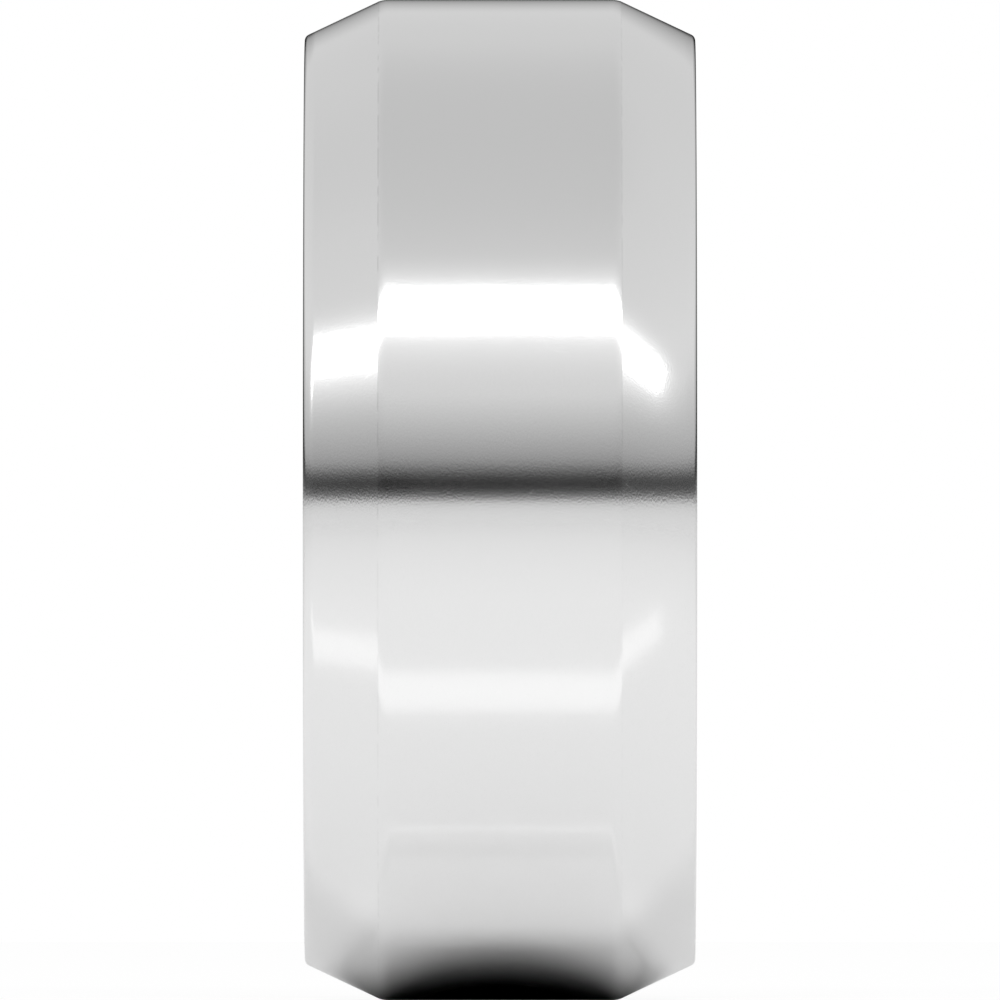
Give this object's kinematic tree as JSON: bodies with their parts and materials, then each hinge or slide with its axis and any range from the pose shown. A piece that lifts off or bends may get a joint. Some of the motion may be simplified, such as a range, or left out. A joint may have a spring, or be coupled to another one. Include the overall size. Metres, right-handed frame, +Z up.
{
  "type": "wedding band",
  "caption": "Plain polished wedding band: a wide flat tread between bevelled shoulders, narrow side faces and a comfort-fit bore.",
  "frame": {"origin": "centre of the bore, midway between the two side faces", "axes": "+X along the bore, +Z up with the band standing on its tread, +Y away from the viewer who sees the tread face on"},
  "size_m": [0.008, 0.0206, 0.0206],
  "materials": {
    "white_gold": "polished"
  },
  "bodies": {
    "root": {"band": "white_gold"}
  },
  "joints": []
}
